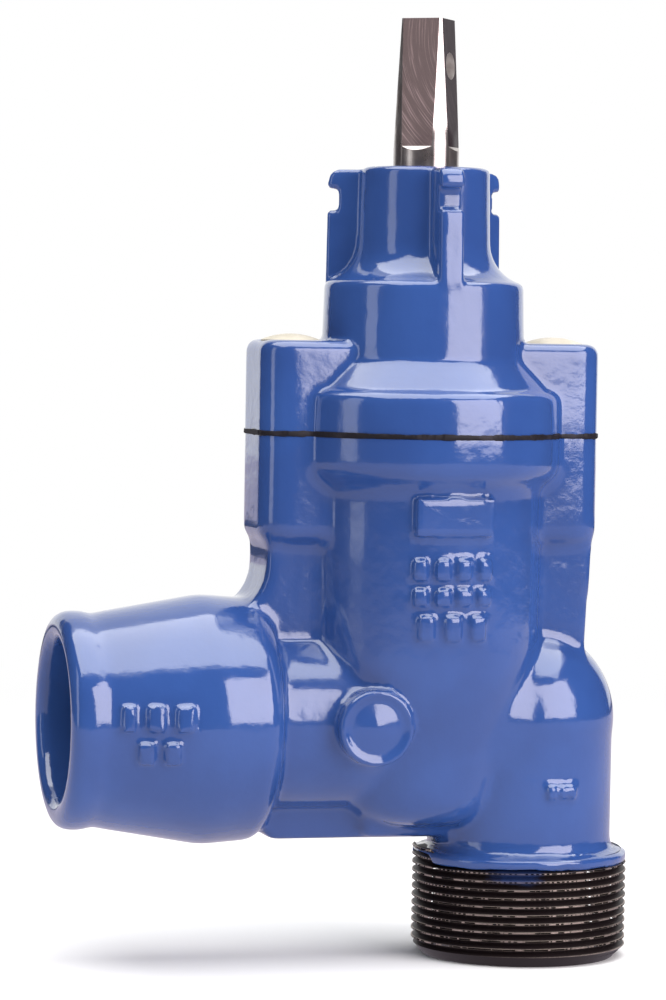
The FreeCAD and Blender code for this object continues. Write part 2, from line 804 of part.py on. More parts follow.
def grip_ring():
    """The split ring whose teeth hold the pipe, tapered outside to suit the cone of the socket."""
    back = grip_back
    front = back - grip_length
    tip = pipe_radius + guide_clearance + packing_clearance
    teeth_base = tip + grip_tooth_depth
    pitch = grip_length / grip_teeth
    corners = [(front, cone_radius_at(front) - grip_gap), (back, cone_radius_at(back) - grip_gap)]
    for tooth in range(grip_teeth):
        corners.append((back - tooth * pitch, teeth_base))
        corners.append((back - (tooth + grip_tooth_lean) * pitch, tip))
    corners.append((front, teeth_base))
    ring = turned_on_pipe(corners)
    split = Part.makeBox(grip_length + 2 * overshoot, grip_split, grip_cone_large + overshoot,
                         vector(front - overshoot, -grip_split / 2, pipe_height))
    return ring.cut(split)


def support_ring():
    front = grip_back + loose_gap
    outer = cone_radius_at(front) - grip_gap
    inner = pipe_radius + guide_clearance + loose_gap
    back = front + support_thickness
    return turned_on_pipe([(front, inner), (front, outer), (back, outer), (back, inner)])


def socket_seal():
    """The lip seal in the chamber behind the grip ring, its lips open towards the water."""
    front = cone_back + loose_gap
    back = seal_back - packing_clearance
    outer = grip_cone_large - packing_clearance
    inner = pipe_radius + guide_clearance + packing_clearance
    middle = (inner + outer) / 2
    groove = front + seal_groove_depth
    return turned_on_pipe([(front, inner + seal_lip / 2), (front, outer), (back, outer),
                           (back, outer - seal_lip), (groove, middle + seal_lip / 4),
                           (groove, middle - seal_lip / 2),
                           (back - seal_lip / 2, inner + seal_lip), (back - seal_lip, inner)])


NODES = {
    "valve_body": valve_body,
    "bonnet": bonnet,
    "bonnet_gasket": bonnet_gasket,
    "bonnet_bolts": bonnet_bolts,
    "bolt_sealing_plugs": bolt_sealing_plugs,
    "stem": stem,
    "thrust_collar": thrust_collar,
    "thrust_washers": thrust_washers,
    "stem_bearing": stem_bearing,
    "stem_o_rings": stem_o_rings,
    "bearing_o_rings": bearing_o_rings,
    "wiper_ring": wiper_ring,
    "manchette": manchette,
    "wedge_core": wedge_core,
    "wedge_rubber": wedge_rubber,
    "wedge_nut": wedge_nut,
    "wedge_guide_shoes": wedge_guide_shoes,
    "grip_ring": grip_ring,
    "support_ring": support_ring,
    "socket_seal": socket_seal,
}

for node, make in NODES.items():
    shape = make()
    shape.exportStep(f"parts/{node}.step")
    print(node, shape.isValid(), len(shape.Solids), round(shape.Volume / 1000, 2))
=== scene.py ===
import math

import bpy
import numpy as np
from mathutils import Matrix, Vector


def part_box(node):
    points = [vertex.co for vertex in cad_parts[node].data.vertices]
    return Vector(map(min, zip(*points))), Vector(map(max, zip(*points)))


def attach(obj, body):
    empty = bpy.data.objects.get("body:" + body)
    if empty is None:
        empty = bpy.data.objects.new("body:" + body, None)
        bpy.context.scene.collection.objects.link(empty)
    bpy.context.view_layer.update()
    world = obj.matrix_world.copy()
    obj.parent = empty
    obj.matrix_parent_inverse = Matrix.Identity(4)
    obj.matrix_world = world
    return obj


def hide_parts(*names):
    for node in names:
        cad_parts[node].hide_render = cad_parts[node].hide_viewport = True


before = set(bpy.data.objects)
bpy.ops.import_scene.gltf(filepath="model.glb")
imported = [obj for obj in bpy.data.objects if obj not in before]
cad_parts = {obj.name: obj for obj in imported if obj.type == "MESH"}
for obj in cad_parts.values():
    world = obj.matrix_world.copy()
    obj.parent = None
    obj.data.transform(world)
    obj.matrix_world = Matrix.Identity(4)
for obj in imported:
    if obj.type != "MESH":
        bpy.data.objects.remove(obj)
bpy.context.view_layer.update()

bpy.ops.object.select_all(action="DESELECT")
scene = bpy.context.scene
scene.view_settings.view_transform = "Standard"


# Camera
# It stands level with the upper casting, a little to the socket's side of the front, with a long lens.
# It leans by the one degree that the photograph leans.
camera_azimuth = math.radians(-15)
camera_pitch = math.radians(2.6)
camera_roll = math.radians(0.95)
camera_distance = 1.111
camera_height = 0.176
camera_sideways = -0.0535
sensor_width = 36
lens_per_frame_height = 4.0

ahead_level = Vector((-math.sin(camera_azimuth), math.cos(camera_azimuth), 0))
right_level = Vector((math.cos(camera_azimuth), math.sin(camera_azimuth), 0))
vertical = Vector((0, 0, 1))
ahead = ahead_level * math.cos(camera_pitch) - vertical * math.sin(camera_pitch)
upward = vertical * math.cos(camera_pitch) + ahead_level * math.sin(camera_pitch)
camera_right = right_level * math.cos(camera_roll) + upward * math.sin(camera_roll)
camera_up = upward * math.cos(camera_roll) - right_level * math.sin(camera_roll)
camera_place = right_level * camera_sideways - ahead_level * camera_distance + vertical * camera_height
camera_turn = Matrix((camera_right, camera_up, -ahead)).transposed().to_4x4()
bpy.ops.object.camera_add()
camera = bpy.context.object
camera.matrix_world = Matrix.Translation(camera_place) @ camera_turn
camera.data.sensor_width = sensor_width
camera.data.lens = sensor_width * lens_per_frame_height
scene.camera = camera


# Floor and light
# The valve stands on a plain white floor, with a wide soft box overhead, a square one at the right and a weak
# one at the left. A dark curtain in front, with a dark mat at its foot, gives the gloss something dark to
# mirror, and the camera doesn't see either.
floor_radius = 4.0
floor_white = (0.86, 0.86, 0.86)
floor_mirrored = (0.62, 0.56, 0.64)
floor_even_from = 0.16
floor_even_to = 0.9
glow_white = (1.0, 1.0, 1.0)
world_fill = 0.48
lamp_target = Vector((-0.03, 0, 0.13))
side_box_turn = math.radians(47)
side_box_size = (1.05, 1.0)
side_box_distance = 1.25
side_box_height = 0.58
side_box_power = 17.5
side_box_colour = (1.0, 0.93, 0.96)
top_box_size = (1.5, 1.15)
top_box_forward = 0.12
top_box_height = 1.05
top_box_power = 18.0
left_box_turn = math.radians(-62)
left_box_size = (0.35, 1.2)
left_box_distance = 1.3
left_box_height = 0.35
left_box_power = 2.0
curtain_radius = 1.9
curtain_height = 2.4
curtain_foot = 0.020
curtain_reach = 1.5
curtain_black = (0.03, 0.026, 0.034)
mat_radius = 1.05
mat_height = 0.004


class Wire:
    """One output socket of a finish. Arithmetic on it adds Math nodes."""

    def __init__(self, finish, socket):
        self.finish = finish
        self.socket = socket

    def math(self, operation, *values):
        return self.finish.node("ShaderNodeMath", {"operation": operation}, *values)

    def __add__(self, other):
        return self.math("ADD", self, other)

    def __radd__(self, other):
        return self.math("ADD", other, self)

    def __sub__(self, other):
        return self.math("SUBTRACT", self, other)

    def __rsub__(self, other):
        return self.math("SUBTRACT", other, self)

    def __mul__(self, other):
        return self.math("MULTIPLY", self, other)

    def __rmul__(self, other):
        return self.math("MULTIPLY", other, self)


class Finish:
    """A material, or the light of the world, whose nodes are added one by one."""

    def __init__(self, name, tree=None):
        if tree is None:
            self.material = bpy.data.materials.new(name)
            self.material.use_nodes = True
            tree = self.material.node_tree
            self.shader = tree.nodes["Principled BSDF"]
        self.tree = tree

    def node(self, kind, settings=None, *values, output=0, **named):
        """Adds a node, sets it up, feeds its sockets in order or by name, and returns one output."""
        made = self.tree.nodes.new(kind)
        for setting, value in (settings or {}).items():
            setattr(made, setting, value)
        sockets = [socket for socket in made.inputs if socket.enabled]
        for socket, value in zip(sockets, values):
            self.feed(socket, value)
        for name, value in named.items():
            wanted = name.replace("_", " ")
            self.feed(next(socket for socket in sockets if socket.name == wanted), value)
        outputs = [socket for socket in made.outputs if socket.enabled]
        return Wire(self, outputs[output])

    def feed(self, socket, value):
        if isinstance(value, Wire):
            self.tree.links.new(value.socket, socket)
        elif isinstance(value, tuple) and len(value) == 3 and socket.type == "RGBA":
            socket.default_value = (*value, 1)
        else:
            socket.default_value = value

    def place(self):
        """The piece's own coordinates, in metres."""
        return self.node("ShaderNodeTexCoord", None, output=3)

    def split(self, vector):
        """The x, y and z of a place."""
        outputs = self.node("ShaderNodeSeparateXYZ", None, vector).socket.node.outputs
        return [Wire(self, socket) for socket in outputs]

    def asked_by(self, *rays):
        """1 where a ray of one of these kinds asks for the colour, and 0 elsewhere."""
        outputs = self.node("ShaderNodeLightPath").socket.node.outputs
        asked = [Wire(self, outputs[f"Is {ray} Ray"]) for ray in rays]
        return sum(asked[1:], asked[0])

    def root(self, value):
        return self.node("ShaderNodeMath", {"operation": "SQRT"}, value)

    def cloud(self, vector, scale, detail=2.0, roughness=0.5):
        """Soft noise with about as many blobs to the metre as its scale."""
        return self.node("ShaderNodeTexNoise", None, Vector=vector, Scale=scale, Detail=detail,
                         Roughness=roughness)

    def spread(self, value, low, high, to_low=0.0, to_high=1.0):
        """The value from low to high, stretched to another range and held there."""
        return self.node("ShaderNodeMapRange", {"interpolation_type": "SMOOTHSTEP"}, value, low, high,
                         to_low, to_high)

    def blend(self, share, first, second):
        """A colour between two colours."""
        return self.node("ShaderNodeMix", {"data_type": "RGBA"}, share, first, second)

    def mottle(self, pattern, first, second, low=0.3, high=0.7):
        """Two colours, parted softly by a pattern."""
        return self.blend(self.spread(pattern, low, high), first, second)

    def bump(self, height, distance, below=None):
        """A normal bent by a height of 0 to 1, on top of another normal where there is one."""
        extra = {"Normal": below} if below else {}
        return self.node("ShaderNodeBump", None, Strength=1.0, Distance=distance, Height=height, **extra)

    def set(self, **values):
        """Feeds the Principled shader's sockets by name."""
        for name, value in values.items():
            self.feed(self.shader.inputs[name.replace("_", " ")], value)
        return self.material


bpy.ops.mesh.primitive_circle_add(vertices=96, radius=floor_radius, fill_type="NGON")
floor = bpy.context.object
floor.name = "floor"
paper = Finish("white_paper")
distance_out = paper.node("ShaderNodeVectorMath", {"operation": "LENGTH"}, paper.place())
mirrored = paper.asked_by("Glossy")
seen = paper.asked_by("Camera", "Transmission")
evened = paper.spread(distance_out, floor_even_from, floor_even_to) * seen + mirrored
paper.set(Base_Color=floor_white, Roughness=0.9, Specular_IOR_Level=0.1)
glow = paper.node("ShaderNodeEmission", None, paper.blend(mirrored, glow_white, floor_mirrored), 1.0)
mixer = paper.node("ShaderNodeMixShader", None, evened, Wire(paper, paper.shader.outputs[0]), glow)
paper.tree.links.new(mixer.socket, paper.tree.nodes["Material Output"].inputs["Surface"])
floor.data.materials.append(paper.material)

world = bpy.data.worlds.new("studio")
scene.world = world
world.use_nodes = True
sky = Finish("studio", world.node_tree)
sky_seen = sky.asked_by("Camera", "Glossy", "Transmission")
background = world.node_tree.nodes["Background"]
background.inputs["Color"].default_value = (1, 1, 1, 1)
sky.feed(background.inputs["Strength"], world_fill + sky_seen * (1.0 - world_fill))


def soft_box(name, place, target, size, power):
    """A rectangular lamp that faces the valve."""
    bpy.ops.object.light_add(type="AREA", location=place)
    lamp = bpy.context.object
    lamp.name = name
    lamp.data.shape = "RECTANGLE"
    lamp.data.size, lamp.data.size_y = size
    lamp.data.energy = power
    lamp.rotation_euler = (target - place).to_track_quat("-Z", "Y").to_euler()
    return lamp


def around(turn, distance, height):
    """A place at an angle to the right of the camera, seen from the valve."""
    heading = camera_azimuth + turn
    return Vector((math.sin(heading) * distance, -math.cos(heading) * distance, height))


side_place = around(side_box_turn, side_box_distance, side_box_height)
side_box = soft_box("side_box", side_place, lamp_target, side_box_size, side_box_power)
side_box.data.color = side_box_colour
left_place = around(left_box_turn, left_box_distance, left_box_height)
soft_box("left_box", left_place, lamp_target, left_box_size, left_box_power)
top_place = around(0, top_box_forward, top_box_height)
soft_box("top_box", top_place, Vector((top_place.x, top_place.y, 0)), top_box_size, top_box_power)


def pick(piece):
    """Leaves only one piece selected, and makes it the active one."""
    bpy.ops.object.select_all(action="DESELECT")
    piece.select_set(True)
    bpy.context.view_layer.objects.active = piece


def weld(added, piece):
    """Joins a new form to a piece. In a casting, the next remesh melts them into one."""
    pick(piece)
    added.select_set(True)
    bpy.ops.object.join()


bpy.ops.mesh.primitive_cylinder_add(vertices=48, radius=curtain_radius, depth=curtain_height,
                                    end_fill_type="NOTHING",
                                    location=(0, 0, curtain_height / 2 + curtain_foot))
curtain = bpy.context.object
curtain.name = "curtain"
bpy.ops.mesh.primitive_cone_add(vertices=48, radius1=mat_radius, radius2=curtain_radius,
                                depth=curtain_foot - mat_height, end_fill_type="NOTHING",
                                location=(0, 0, (curtain_foot + mat_height) / 2))
weld(bpy.context.object, curtain)
bpy.ops.object.transform_apply(location=True, rotation=True, scale=True)
bpy.ops.object.mode_set(mode="EDIT")
bpy.ops.mesh.select_all(action="SELECT")
bpy.ops.mesh.bisect(plane_co=ahead_level * curtain_reach, plane_no=ahead_level, clear_outer=True)
bpy.ops.object.mode_set(mode="OBJECT")
cloth = Finish("black_curtain")
curtain.data.materials.append(cloth.set(Base_Color=curtain_black, Roughness=0.95))
curtain.visible_camera = False
curtain.visible_diffuse = False


# Body casting
# Ductile iron, cast in one piece with its socket, elbow, ears and struts, blasted and then dipped hot in
# blue epoxy powder, which flows to a thick glossy skin and rounds every corner.
stem_low, stem_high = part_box("stem")
gasket_low, gasket_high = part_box("bonnet_gasket")
grip_low, grip_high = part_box("grip_ring")
stem_x = (stem_low.x + stem_high.x) / 2
pipe_height = (grip_low.z + grip_high.z) / 2
tiny = 1e-6
level_within = 1e-5
casting_extension = 0.003
joint_gap = 0.00015
body_voxel = 0.0011
body_softness = 8
boss_x = -0.0500
boss_rim = 0.0103
boss_face = 0.0296
boss_depth = 0.010
boss_bead = 0.0011
boss_bead_inset = 0.0009
boss_bead_sunk = 0.0002
mark_voxel = 0.0008
mark_softness = 2
mark_height = 0.0016
mark_aim = 0.2
# Each row of raised bars: its middle, its level, its height, and each bar's place beside the middle and width
mark_rows = [(stem_x, 0.1232, 0.0100, [(0.0, 0.0215)]),
             (stem_x, 0.1090, 0.0052,
              [(-0.0091, 0.0036), (-0.0030, 0.0036), (0.0030, 0.0036), (0.0091, 0.0036)]),
             (stem_x, 0.1016, 0.0042,
              [(-0.0088, 0.0036), (-0.0029, 0.0036), (0.0030, 0.0036), (0.0088, 0.0036)]),
             (stem_x, 0.0932, 0.0064, [(-0.0072, 0.0042), (0.0, 0.0042), (0.0072, 0.0042)]),
             (-0.1108, pipe_height + 0.0032, 0.0066, [(-0.0072, 0.0030), (0.0, 0.0044), (0.0076, 0.0044)]),
             (-0.1098, pipe_height - 0.0060, 0.0056, [(-0.0034, 0.0040), (0.0034, 0.0040)]),
             (0.0040, 0.0478, 0.0034, [(-0.0032, 0.0019), (0.0, 0.0019), (0.0032, 0.0019)])]
thread_crest = 0.029807
paint_edge_height = 0.0267
paint_edge_wander = 0.0005
paint_edge_zone = 0.0040
paint_edge_inside = 0.0235
paint_edge_below = 0.035
lip_top = 0.0306
lip_shoulder = 0.0018
lip_rounding = 0.0009
lip_undercut = 0.0006
lip_reach = 0.0297
lip_wander = 0.00008
lip_from = 0.0265
lip_to = 0.031
bare_side = math.radians(18.5)
bare_fade = 0.05
bare_rise = 0.0024
epoxy_blue = (0.028, 0.072, 0.245)
epoxy_deep = (0.023, 0.059, 0.208)
triangle_limit = 185000


def merge_seams(piece):
    """Merges the vertices that lie on one another."""
    pick(piece)
    bpy.ops.object.mode_set(mode="EDIT")
    bpy.ops.mesh.select_all(action="SELECT")
    bpy.ops.mesh.remove_doubles(threshold=tiny)
    bpy.ops.object.mode_set(mode="OBJECT")


def cad_copy(node, name):
    """A new piece that starts as the merged mesh of a CAD node."""
    piece = bpy.data.objects.new(name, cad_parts[node].data.copy())
    piece.data.name = name
    scene.collection.objects.link(piece)
    pick(piece)
    piece.data.materials.clear()
    bpy.ops.mesh.customdata_custom_splitnormals_clear()
    merge_seams(piece)
    return piece


def points_of(piece):
    """The places of a piece's vertices, one row each."""
    flat = np.empty(len(piece.data.vertices) * 3, np.float64)
    piece.data.vertices.foreach_get("co", flat)
    return flat.reshape(-1, 3)


def put_points(piece, points):
    piece.data.vertices.foreach_set("co", np.asarray(points, np.float64).ravel())
    piece.data.update()


def select_points(piece, chosen):
    """Selects vertices in object mode, for the operator that runs next in edit mode."""
    mesh = piece.data
    mesh.polygons.foreach_set("select", np.zeros(len(mesh.polygons), bool))
    mesh.edges.foreach_set("select", np.zeros(len(mesh.edges), bool))
    mesh.vertices.foreach_set("select", np.asarray(chosen, bool))


def change(piece, kind, **settings):
    """Adds a modifier, sets it and applies it."""
    pick(piece)
    modifier = piece.modifiers.new(kind.title(), kind)
    for setting, value in settings.items():
        setattr(modifier, setting, value)
    bpy.ops.object.modifier_apply(modifier=modifier.name)


def soften(piece, voxel, softness):
    """Remeshes a piece evenly and smooths its corners."""
    change(piece, "REMESH", mode="VOXEL", voxel_size=voxel)
    change(piece, "SMOOTH", factor=0.5, iterations=softness)


def cast_skin(piece, rim_height, away, voxel, softness):
    """Turns a merged CAD copy into a soft cast skin that runs a little past its flat joint face."""
    points = points_of(piece)
    select_points(piece, np.abs(points[:, 2] - rim_height) < level_within)
    bpy.ops.object.mode_set(mode="EDIT")
    bpy.ops.mesh.select_mode(type="VERT")
    bpy.ops.transform.translate(value=(0, 0, away * casting_extension))
    bpy.ops.object.mode_set(mode="OBJECT")
    soften(piece, voxel, softness)


def cast_mark(piece, x, z, width, height):
    """Joins one plain raised bar to a casting, square to its front face at a given place."""
    spot, outward = piece.ray_cast(Vector((x, -mark_aim, z)), Vector((0, 1, 0)))[1:3]
    bpy.ops.mesh.primitive_cube_add(size=1, location=spot)
    bar = bpy.context.object
    bar.scale = (width, 2 * mark_height, height)
    bar.rotation_euler = outward.to_track_quat("-Y", "Z").to_euler()
    bpy.ops.object.transform_apply(location=True, rotation=True, scale=True)
    weld(bar, piece)


def cast_boss(piece, side):
    """Joins the round boss beside the pipe to one side of a casting, with a bead round its rim."""
    lying = (math.pi / 2, 0, 0)
    bpy.ops.mesh.primitive_cylinder_add(vertices=96, radius=boss_rim, depth=boss_depth, rotation=lying,
                                        location=(boss_x, side * (boss_face - boss_depth / 2), pipe_height))
    weld(bpy.context.object, piece)
    bpy.ops.mesh.primitive_torus_add(major_radius=boss_rim - boss_bead_inset, minor_radius=boss_bead,
                                     major_segments=96, minor_segments=16, rotation=lying,
                                     location=(boss_x, side * (boss_face - boss_bead_sunk), pipe_height))
    weld(bpy.context.object, piece)


def cut_level(piece, height, away):
    """Cuts a piece at a level and closes the cut, where away is 1 to drop what is above it."""
    pick(piece)
    bpy.ops.object.mode_set(mode="EDIT")
    bpy.ops.mesh.select_all(action="SELECT")
    bpy.ops.mesh.bisect(plane_co=(0, 0, height), plane_no=(0, 0, away), clear_outer=True)
    bpy.ops.mesh.fill(use_beauty=True)
    bpy.ops.object.mode_set(mode="OBJECT")


def from_bare_side(x, y):
    """The angle round the outlet from the edge of the bare patch, which faces the socket."""
    return math.pi - np.abs(np.arctan2(y, x)) - bare_side


def paint_lip(piece):
    """Draws a casting's foot out to the thick wavy lip at which its paint ends above the thread."""
    points = points_of(piece)
    x, y, z = points.T
    turn = np.arctan2(y, x)
    radius = np.hypot(x, y)
    wave = np.sin(3 * turn + 0.6) + 0.6 * np.sin(7 * turn + 2.1) + 0.4 * np.sin(17 * turn)
    bare = np.clip(from_bare_side(x, y) / -bare_fade, 0, 1)
    on_lip = (radius > lip_from) & (radius < lip_to) & (z < lip_top)
    bead = np.clip((lip_top - z) / lip_shoulder, 0, 1) * on_lip * (1 - bare)
    round_under = np.clip((paint_edge_height + lip_rounding - z) / lip_rounding, 0, 1) ** 2
    wanted = lip_reach + lip_wander * wave - lip_undercut * round_under
    scale = 1 + bead * (wanted / np.maximum(radius, tiny) - 1)
    at_edge = np.clip(1 - (z - paint_edge_height) / paint_edge_zone, 0, 1)
    at_edge = at_edge * (radius > paint_edge_inside) * (z < paint_edge_below)
    points[:, 0] = x * scale
    points[:, 1] = y * scale
    points[:, 2] = z + at_edge * (wave * paint_edge_wander / 2 * (1 - bare) + bare_rise * bare)
    put_points(piece, points)


def thin_out(piece):
    """Keeps a piece under the triangle limit."""
    triangles = sum(len(face.vertices) - 2 for face in piece.data.polygons)
    if triangles > triangle_limit:
        change(piece, "DECIMATE", ratio=triangle_limit / triangles)


def smooth_shading(piece, degrees):
    pick(piece)
    bpy.ops.object.shade_smooth_by_angle(angle=math.radians(degrees))


def epoxy_finish():
    """Thick glossy blue epoxy with the long waves and fine ripple of a powder coat."""
    finish = Finish("blue_epoxy_coat")
    place = finish.place()
    pooled = finish.cloud(place, 28, 3.0)
    waves = finish.cloud(place, 95, 2.0)
    ripple = finish.cloud(place, 520, 2.0, 0.55)
    specks = finish.cloud(place, 1700, 1.0)
    colour = finish.mottle(pooled, epoxy_blue, epoxy_deep, 0.35, 0.65)
    normal = finish.bump(waves, 0.00030)
    normal = finish.bump(ripple, 0.000048, normal)
    normal = finish.bump(specks, 0.000006, normal)
    roughness = 0.10 + 0.07 * finish.spread(pooled, 0.4, 0.7) + 0.05 * finish.spread(specks, 0.6, 0.75)
    return finish.set(Base_Color=colour, Roughness=roughness, Normal=normal, IOR=1.55,
                      Coat_Weight=0.65, Coat_Roughness=0.04, Coat_IOR=1.5)


blue_epoxy = epoxy_finish()
body_casting = cad_copy("valve_body", "body_casting")
cast_skin(body_casting, gasket_low.z, 1, body_voxel, body_softness)
for side in (-1, 1):
    cast_boss(body_casting, side)
for row_middle, row_level, row_height, bars in mark_rows:
    for beside, bar_width in bars:
        cast_mark(body_casting, row_middle + beside, row_level, bar_width, row_height)
soften(body_casting, mark_voxel, mark_softness)
cut_level(body_casting, gasket_low.z - joint_gap, 1)
cut_level(body_casting, paint_edge_height, -1)
paint_lip(body_casting)
thin_out(body_casting)
smooth_shading(body_casting, 40)
body_casting.data.materials.append(blue_epoxy)
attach(body_casting, "housing")


# Outlet thread
# The body's outlet is left bare inside and out below the paint. It is turned and cut with a two inch pipe
# thread of eleven turns to the inch, oiled dark, its crests rubbed bright and painted brighter as a
# highlight.
thread_pitch = 0.0254 / 11
thread_depth = 0.64 * thread_pitch
thread_top = 0.0305
thread_chamfer = 0.0034
thread_turns = 17
turns_below = 2
thread_steps = 128
root_radius = thread_crest - thread_depth
foot_radius = root_radius + 0.12 * thread_depth
shoulder_radius = thread_crest - 0.10 * thread_depth
overrun_below = 0.0006
overrun_above = 0.002
outlet_bore = 0.019
bore_clearance = 0.00005
bore_cutter_depth = 0.08
bore_cutter_middle = 0.03
tuck_overlap = 0.0002
tuck_from = 0.0285
tuck_radius = 0.0275
tuck_top = 0.0283
oiled_dark = (0.018, 0.011, 0.012)
# The crest colour is partly bare rubbed iron and partly a painted highlight along the lit crests.
wear_and_highlight_colour = (0.46, 0.38, 0.33)

bpy.ops.mesh.primitive_plane_add(size=1)
outlet_thread = bpy.context.object
outlet_thread.name = "outlet_thread"
bpy.ops.object.mode_set(mode="EDIT")
bpy.ops.mesh.delete(type="VERT")
bpy.ops.object.mode_set(mode="OBJECT")
climb = [(root_radius, 0.0), (foot_radius, 0.07), (shoulder_radius, 0.43), (thread_crest, 0.43)]
profile = climb + [(radius, 1 - share) for radius, share in reversed(climb)]
corners = [(radius, 0, (share - turns_below) * thread_pitch) for radius, share in profile]
edges = [(step, step + 1) for step in range(len(profile) - 1)]
outlet_thread.data.from_pydata(corners, edges, [])
change(outlet_thread, "SCREW", angle=2 * math.pi, screw_offset=thread_pitch, iterations=thread_turns,
       steps=thread_steps, render_steps=thread_steps, use_merge_vertices=True, merge_threshold=tiny,
       use_smooth_shade=False)
merge_seams(outlet_thread)
cut_level(outlet_thread, -overrun_below, -1)
cut_level(outlet_thread, thread_top + overrun_above, 1)
bpy.ops.object.mode_set(mode="EDIT")
bpy.ops.mesh.select_all(action="SELECT")
bpy.ops.mesh.normals_make_consistent(inside=False)
bpy.ops.object.mode_set(mode="OBJECT")

bpy.ops.mesh.primitive_cylinder_add(vertices=thread_steps, radius=thread_crest, depth=thread_top,
                                    location=(0, 0, thread_top / 2), end_fill_type="NGON")
blank = bpy.context.object
blank.name = "thread_blank"
bpy.ops.object.transform_apply(location=True, rotation=False, scale=False)
select_points(blank, points_of(blank)[:, 2] < tiny)
bpy.ops.object.mode_set(mode="EDIT")
bpy.ops.mesh.select_mode(type="VERT")
bpy.ops.mesh.bevel(offset=thread_chamfer, segments=1)
bpy.ops.object.mode_set(mode="OBJECT")
bpy.ops.mesh.primitive_cylinder_add(vertices=thread_steps, radius=outlet_bore + bore_clearance,
                                    depth=bore_cutter_depth, location=(0, 0, bore_cutter_middle))
bore_cutter = bpy.context.object
change(blank, "BOOLEAN", operation="DIFFERENCE", object=bore_cutter, solver="EXACT")
change(outlet_thread, "BOOLEAN", operation="INTERSECT", object=blank, solver="EXACT")
bpy.data.objects.remove(bore_cutter)
bpy.data.objects.remove(blank)


def tuck_in(piece):
    """Draws the top of the thread in under the lip of paint."""
    points = points_of(piece)
    x, y, z = points.T
    radius = np.hypot(x, y)
    under_lip = (z > paint_edge_height - tuck_overlap) & (radius > tuck_from) & (from_bare_side(x, y) > 0)
    points[:, :2] *= np.where(under_lip, tuck_radius / np.maximum(radius, tiny), 1.0)[:, None]
    points[:, 2] = np.where(under_lip, np.minimum(z, tuck_top), z)
    put_points(piece, points)


def thread_finish():
    """Dark oiled iron, crests rubbed and painted bright as a highlight, fine turning marks, some blue under
    the lip.
    """
    finish = Finish("oiled_thread_iron")
    place = finish.place()
    x, y, z = finish.split(place)
    crest = finish.spread(finish.root(x * x + y * y), thread_crest - 0.0005, thread_crest - 0.0001)
    grime = finish.cloud(place, 160, 4.0, 0.6)
    fine = finish.cloud(place, 2600, 2.0)
    # Bright crests: rubbed wear mixed with a painted highlight of the light along the ridges.
    wear_and_highlight_mask = crest * finish.spread(grime + 0.4 * fine, 0.40, 0.80)
    bare = finish.blend(wear_and_highlight_mask, oiled_dark, wear_and_highlight_colour)
    ragged = x + 0.014 * grime - 0.007
    across = finish.spread(ragged, -0.0170, -0.0120) * finish.spread(ragged, -0.0060, -0.0010, 1.0, 0.0)
    in_front = finish.spread(y, -0.02, -0.01, 1.0, 0.0)
    near_lip = finish.spread(z + 0.006 * grime, 0.0255, 0.0270)
    colour = finish.blend(across * in_front * near_lip * 0.6, bare, epoxy_blue)
    roughness = 0.42 - 0.14 * wear_and_highlight_mask + 0.12 * fine
    return finish.set(Base_Color=colour, Metallic=0.55 + 0.4 * wear_and_highlight_mask, Roughness=roughness,
                      Normal=finish.bump(fine, 0.00002))


tuck_in(outlet_thread)
smooth_shading(outlet_thread, 25)
outlet_thread.data.materials.append(thread_finish())
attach(outlet_thread, "housing")
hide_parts("valve_body")
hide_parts("valve_body")


# Bonnet
# The second casting, with the same epoxy skin. Its three bayonet lugs run up the neck, notched near the top
# for the tube of a spindle extension.
bonnet_voxel = 0.0007
bonnet_softness = 5

bonnet_skin = cad_copy("bonnet", "bonnet_casting")
cast_skin(bonnet_skin, gasket_high.z, -1, bonnet_voxel, bonnet_softness)
cut_level(bonnet_skin, gasket_high.z + joint_gap, -1)
thin_out(bonnet_skin)
smooth_shading(bonnet_skin, 40)
bonnet_skin.data.materials.append(blue_epoxy)
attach(bonnet_skin, "housing")
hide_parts("bonnet")


# Stem head and shaft
# Stainless bar, turned, with four tapered flats milled at its top, crossed by a hole for the bolt that
# holds a key. The mill has left arcs across each flat.
head_turn = math.radians(35.7)
flats_length = 0.0350
flats_apart = 0.0045
square_on = 0.985
cutter_radius = 0.030
cutter_drop = 0.004
hole_middle = Vector((stem_x, 0, 0.2456))
hole_way = Vector((math.cos(head_turn), -math.sin(head_turn), 0))
hole_radius = 0.00372
edge_on = 0.1
turned_grey = (0.46, 0.41, 0.39)
turned_bright = (0.60, 0.56, 0.54)
milled_grey = (0.215, 0.160, 0.158)
# The front-right flat is the same steel as the other flats, painted darker as shade where it faces the dark
# curtain.
milled_painted_shade = (0.050, 0.037, 0.043)
# The wall of the cross hole is painted far paler than the turned steel: a painted highlight for the light
# seen inside the hole.
drilled_highlight_grey = (0.66, 0.62, 0.60)
drilled_highlight_bright = (0.90, 0.87, 0.85)
flat_tones = [("milled_front_right_painted_shade", milled_painted_shade), ("milled_back_right", milled_grey),
              ("milled_back_left", milled_grey), ("milled_front_left", milled_grey)]


def milled_finish(name, facing, tone):
    """A milled flat that faces a given way, with cutter arcs painted brighter as a glint, and fine scratches.
    """
    finish = Finish(name)
    place = finish.place()
    x, y, z = finish.split(place)
    beside = y * facing.x - (x - stem_x) * facing.y - cutter_radius
    down = z - stem_high.z
    from_centre = down + cutter_drop
    reach = finish.root(beside * beside + from_centre * from_centre)
    swept = finish.node("ShaderNodeCombineXYZ", None, reach * 2400, down * 60, 0.0)
    marks = finish.cloud(swept, 1.0, 3.0, 0.65)
    fine = finish.cloud(place, 3200, 2.0)
    pale = tuple(channel * 1.3 for channel in tone)
    # The milled arcs are real marks; their far brighter tone is a painted glint.
    bright = tuple(channel * 2.4 for channel in tone)
    colour = finish.mottle(marks, finish.blend(fine, tone, pale), bright, 0.50, 0.68)
    return finish.set(Base_Color=colour, Metallic=0.75, Roughness=0.36 + 0.12 * fine,
                      Normal=finish.bump(marks, 0.00004))


